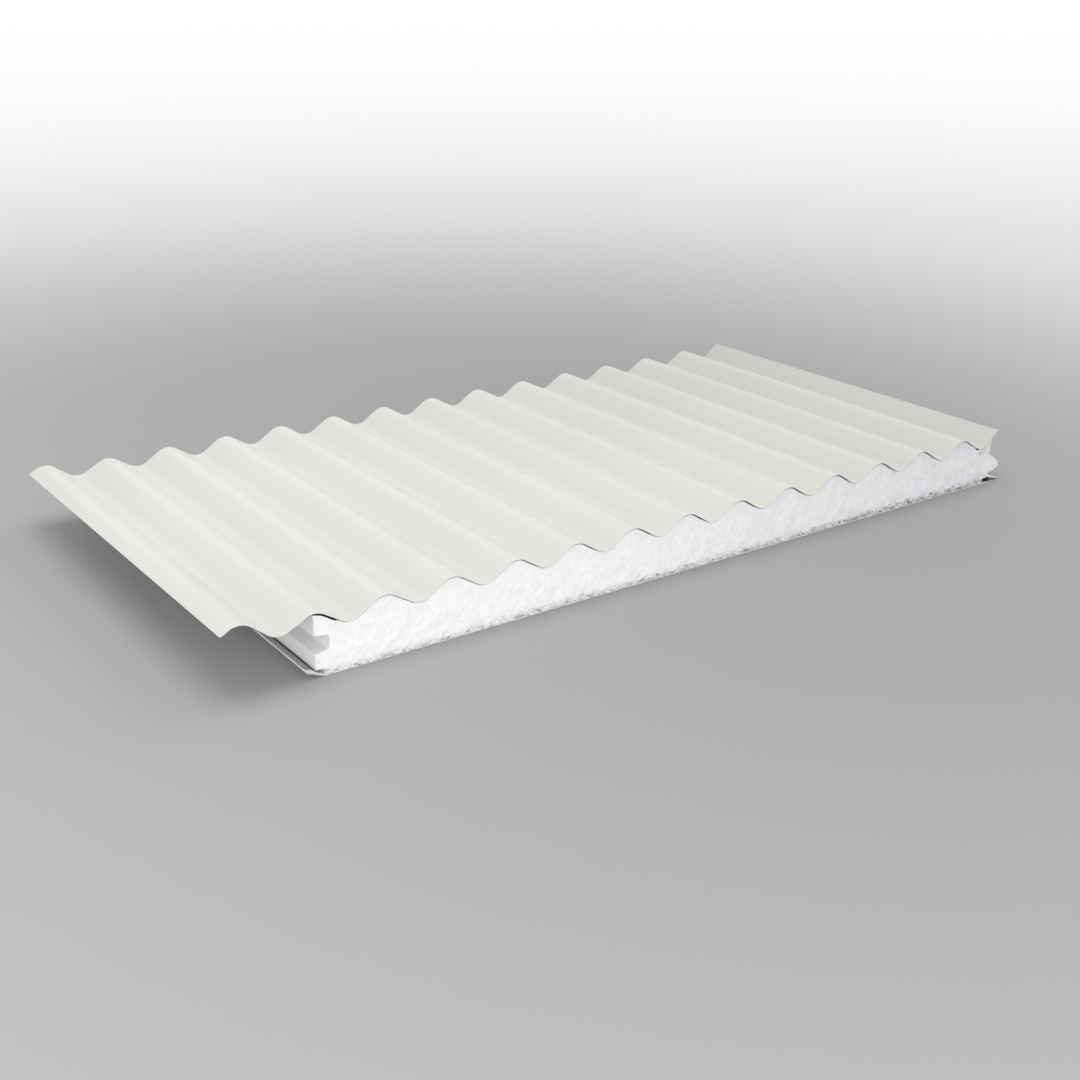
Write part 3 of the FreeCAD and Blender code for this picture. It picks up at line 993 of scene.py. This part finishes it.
view = sweep.mix(share, near_grey, (0.20, 0.20, 0.20, 1))
sweep.show(
    base_color=sweep.mix(seen, (0.60, 0.60, 0.60, 1), view),
    emission_color=sweep.mix(share * seen, (0, 0, 0, 1), (0.78, 0.78, 0.78, 1)),
    roughness=0.75 + dust * 0.1,
)
sweep.shader.inputs["Emission Strength"].default_value = 1.0
floor.data.materials.append(sweep.material)
print("floor", FLOOR_SIZE, "m,", len(sweep.tree.nodes), "nodes")

# %% [markdown]
# ## Light
#
# White on white needs soft light from several sides, at a level where nothing clips.
# One big lamp hangs over the left half and shines straight down, so the light fades
# gently to the right. One in front lifts the sawn face, a weak one looks in under the
# lap from the left, and two from the right keep the flanks that face right a little
# brighter than the others. The room fills the rest evenly. To the eye, and in a gloss,
# the room looks paler than the light it gives, about as pale as the far floor.

# %% Light
def soft_lamp(name, place, aim, size, spread, power):
    """A square lamp that looks from its place to its aim."""
    bpy.ops.object.light_add(type="AREA", location=place)
    lamp = bpy.context.object
    lamp.name = name
    lamp.rotation_euler = (Vector(aim) - Vector(place)).to_track_quat("-Z", "Y").to_euler()
    lamp.data.shape = "SQUARE"
    lamp.data.size = size
    lamp.data.spread = math.radians(spread)
    lamp.data.energy = power


soft_lamp("overhead_lamp", (-0.42, 0, 1.5), (-0.42, 0, 0), 1.2, 90, 4.4)
soft_lamp("front_lamp", (-1.0, -2.0, 0.7), (-0.35, -0.25, 0.03), 1.2, 120, 5.2)
soft_lamp("left_lamp", (-1.8, -0.5, 0.3), (-0.55, 0, 0.05), 1.0, 180, 4.2)
soft_lamp("right_lamp", (2.2, -0.3, 0.9), (0.2, 0, 0), 1.4, 120, 2.6)
soft_lamp("high_right_lamp", (1.8, 0.2, 2.0), (0, 0, 0), 1.4, 180, 13.2)

# %% Room
ROOM_LIGHT, ROOM_SEEN = 0.68, 0.95
world = bpy.data.worlds.new("studio")
world.use_nodes = True
world.node_tree.nodes["Background"].inputs["Color"].default_value = (1.0, 1.0, 1.0, 1)
nodes, links = world.node_tree.nodes, world.node_tree.links
path = nodes.new("ShaderNodeLightPath")
seen = path.outputs[SEEN_RAYS[0]]
for ray in SEEN_RAYS[1:]:
    either = nodes.new("ShaderNodeMath")
    either.operation = "MAXIMUM"
    links.new(seen, either.inputs[0])
    links.new(path.outputs[ray], either.inputs[1])
    seen = either.outputs[0]
strength = nodes.new("ShaderNodeMapRange")
strength.inputs["To Min"].default_value = ROOM_LIGHT
strength.inputs["To Max"].default_value = ROOM_SEEN
links.new(seen, strength.inputs["Value"])
links.new(strength.outputs["Result"], nodes["Background"].inputs["Strength"])
bpy.context.scene.world = world
bpy.context.scene.view_settings.view_transform = "Standard"
print("room", len(nodes), "nodes")

# %% [markdown]
# ## Camera
#
# The camera looks down at the sample over its left front corner, so that the lap, the
# sawn face and the whole sheet are seen at once. It could be made to track an empty
# object. Three angles and a place say the same in plain numbers, roll included, and
# give the same view on every run.

# %% Camera
CAMERA_PLACE = (-0.99922, -1.40462, 0.64129)
LENS, SENSOR = 48.43, 36
AZIMUTH = math.radians(-35.447)
ELEVATION = math.radians(21.940)
ROLL = math.radians(0.346)
back = Vector(
    (
        math.sin(AZIMUTH) * math.cos(ELEVATION),
        -math.cos(AZIMUTH) * math.cos(ELEVATION),
        math.sin(ELEVATION),
    )
)
right = Vector((math.cos(AZIMUTH), math.sin(AZIMUTH), 0))
up = back.cross(right)
right, up = (
    right * math.cos(ROLL) + up * math.sin(ROLL),
    up * math.cos(ROLL) - right * math.sin(ROLL),
)
bpy.ops.object.camera_add()
camera = bpy.context.object
camera.name = "camera"
turned = Matrix((right, up, back)).transposed().to_4x4()
camera.matrix_world = Matrix.Translation(CAMERA_PLACE) @ turned
camera.data.sensor_width = SENSOR
camera.data.lens = LENS
camera.data.clip_end = 200
bpy.context.scene.camera = camera
print("camera", [round(value, 3) for value in CAMERA_PLACE], "lens", LENS)
